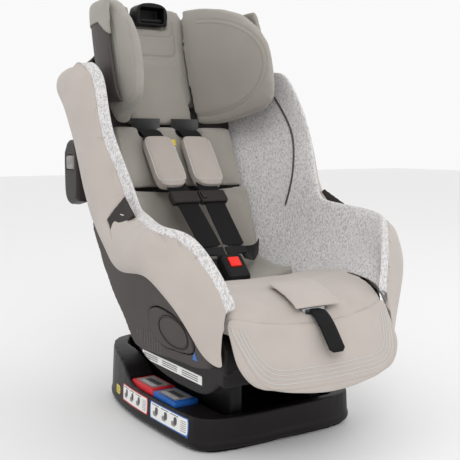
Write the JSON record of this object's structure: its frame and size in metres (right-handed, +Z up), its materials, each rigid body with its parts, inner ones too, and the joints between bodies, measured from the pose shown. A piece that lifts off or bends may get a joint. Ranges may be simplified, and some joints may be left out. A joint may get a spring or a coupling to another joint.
{
  "type": "convertible child car seat",
  "caption": "Reclining child car seat: padded bucket with side wings, sliding headrest and five-point harness on a low dark base with arc rails.",
  "frame": {"origin": "centre of the base's flat underside, where it rests on a vehicle seat or the floor", "axes": "-Y towards the front of the seat, where the child's legs go; +Z up; +X towards the right-hand side seen from the front"},
  "size_m": [0.4202, 0.5425, 0.641],
  "materials": {
    "taupe_fabric": "matt knitted cloth",
    "heather_fabric": "speckled melange knit",
    "inner_fabric": "smooth matt knit, darker",
    "dark_plastic": "fine-grained moulding",
    "base_plastic": "satin black-brown moulding",
    "black_plastic": "fine grain",
    "webbing": "woven belt webbing",
    "foam": "expanded foam",
    "red_plastic": "satin",
    "button_red": "satin",
    "blue_plastic": "satin",
    "grey_plastic": "fine grain",
    "sole_rubber": "matt",
    "steel": "zinc plated"
  },
  "bodies": {
    "base": {"base_sole": "sole_rubber", "base_tub": "base_plastic", "index_red_left": "red_plastic", "index_red_right": "red_plastic", "index_blue_left": "blue_plastic", "index_blue_right": "blue_plastic", "guide_rail_left": "black_plastic", "guide_rail_right": "black_plastic"},
    "seat": {"undercarriage": "base_plastic", "seat_pan": "base_plastic", "seat_shell": "dark_plastic", "side_panel_left": "dark_plastic", "side_panel_right": "dark_plastic", "side_cover_left": "taupe_fabric", "side_cover_right": "taupe_fabric", "side_lining_left": "heather_fabric", "side_lining_right": "heather_fabric", "side_foam_left": "foam", "side_foam_right": "foam", "belt_hook_left": "dark_plastic", "belt_hook_right": "dark_plastic", "back_pad": "inner_fabric", "insert_pad": "inner_fabric", "seat_cushion": "taupe_fabric", "front_apron": "taupe_fabric", "crotch_strap": "webbing", "crotch_pad": "webbing", "buckle_body": "black_plastic", "tongue_left": "black_plastic", "tongue_right": "black_plastic", "hip_strap_left": "webbing", "hip_strap_right": "webbing", "shoulder_strap_left": "webbing", "shoulder_strap_right": "webbing", "shoulder_pad_left": "taupe_fabric", "shoulder_pad_right": "taupe_fabric", "adjuster_housing": "steel", "adjuster_strap": "webbing"},
    "recline_handle": {"recline_handle": "dark_plastic"},
    "recline_latch": {"recline_latch": "steel"},
    "headrest": {"headrest_shell": "dark_plastic", "headrest_center": "inner_fabric", "headrest_wing_left": "inner_fabric", "headrest_wing_right": "inner_fabric", "handle_frame": "black_plastic"},
    "headrest_lever": {"headrest_lever": "dark_plastic"},
    "chest_clip": {"chest_clip_left": "dark_plastic", "chest_clip_right": "dark_plastic"},
    "chest_clip_button": {"chest_clip_button": "dark_plastic"},
    "buckle_button": {"buckle_button": "button_red"},
    "adjuster_lever": {"adjuster_lever": "grey_plastic"},
    "adjuster_flap": {"adjuster_flap": "taupe_fabric"},
    "cup_holder_left": {"cup_holder_left": "dark_plastic"},
    "cup_holder_right": {"cup_holder_right": "dark_plastic"},
    "side_pod_left": {"side_pod_left": "dark_plastic"},
    "side_pod_right": {"side_pod_right": "dark_plastic"},
    "pod_button_left": {"pod_button_left": "grey_plastic"},
    "pod_button_right": {"pod_button_right": "grey_plastic"}
  },
  "joints": [
    {"name": "recline", "type": "hinge", "parent": "base", "child": "seat", "pos_m": [0, -0.02, 0.42], "axis": [-1, 0, 0], "range_deg": [0, 15]},
    {"name": "recline_handle_pull", "type": "slide", "parent": "seat", "child": "recline_handle", "axis": [0, -1, 0], "range_m": [0, 0.009], "stiffness_N_per_m": 300, "springref_m": -0.004},
    {"name": "recline_latch_lift", "type": "slide", "parent": "seat", "child": "recline_latch", "axis": [0, 0, 1], "range_m": [0, 0.009]},
    {"name": "headrest_slide", "type": "slide", "parent": "seat", "child": "headrest", "axis": [0, 0.2812, 0.9597], "range_m": [0, 0.11]},
    {"name": "headrest_lever_squeeze", "type": "slide", "parent": "headrest", "child": "headrest_lever", "axis": [0, 0.2812, 0.9597], "range_m": [0, 0.01], "stiffness_N_per_m": 300, "springref_m": -0.004},
    {"name": "chest_clip_slide", "type": "slide", "parent": "seat", "child": "chest_clip", "axis": [0, 0.7254, 0.6884], "range_m": [-0.01, 0.01]},
    {"name": "chest_clip_press", "type": "slide", "parent": "chest_clip", "child": "chest_clip_button", "axis": [0, 0.6884, -0.7254], "range_m": [0, 0.002], "stiffness_N_per_m": 400, "springref_m": -0.001},
    {"name": "buckle_press", "type": "slide", "parent": "seat", "child": "buckle_button", "axis": [0, 0.7071, -0.7071], "range_m": [0, 0.003], "stiffness_N_per_m": 600, "springref_m": -0.002},
    {"name": "adjuster_lever_press", "type": "hinge", "parent": "seat", "child": "adjuster_lever", "pos_m": [0, -0.229, 0.196], "axis": [1, 0, 0], "range_deg": [0, 8], "stiffness_Nm_per_rad": 0.6, "springref_deg": -2.86},
    {"name": "adjuster_flap_lift", "type": "hinge", "parent": "seat", "child": "adjuster_flap", "pos_m": [0, -0.208, 0.221], "axis": [-1, 0, 0], "range_deg": [0, 70]},
    {"name": "cup_holder_right_fold", "type": "hinge", "parent": "seat", "child": "cup_holder_right", "pos_m": [0.1425, -0.142, 0.133], "axis": [0, 1, 0], "range_deg": [0, 60]},
    {"name": "cup_holder_left_fold", "type": "hinge", "parent": "seat", "child": "cup_holder_left", "pos_m": [-0.1425, -0.142, 0.133], "axis": [0, -1, 0], "range_deg": [0, 60]},
    {"name": "side_pod_right_turn", "type": "hinge", "parent": "seat", "child": "side_pod_right", "pos_m": [0.168, 0.112, 0.363], "axis": [0, 0, 1], "range_deg": [0, 45]},
    {"name": "side_pod_left_turn", "type": "hinge", "parent": "seat", "child": "side_pod_left", "pos_m": [-0.168, 0.112, 0.363], "axis": [0, 0, -1], "range_deg": [0, 45]},
    {"name": "pod_button_right_press", "type": "slide", "parent": "side_pod_right", "child": "pod_button_right", "axis": [-1, 0, 0], "range_m": [0, 0.003], "stiffness_N_per_m": 300, "springref_m": -0.001},
    {"name": "pod_button_left_press", "type": "slide", "parent": "side_pod_left", "child": "pod_button_left", "axis": [1, 0, 0], "range_m": [0, 0.003], "stiffness_N_per_m": 300, "springref_m": -0.001}
  ],
  "couplings": [
    {"joint": "recline_latch_lift", "follows": "recline_handle_pull", "ratio": 1}
  ]
}
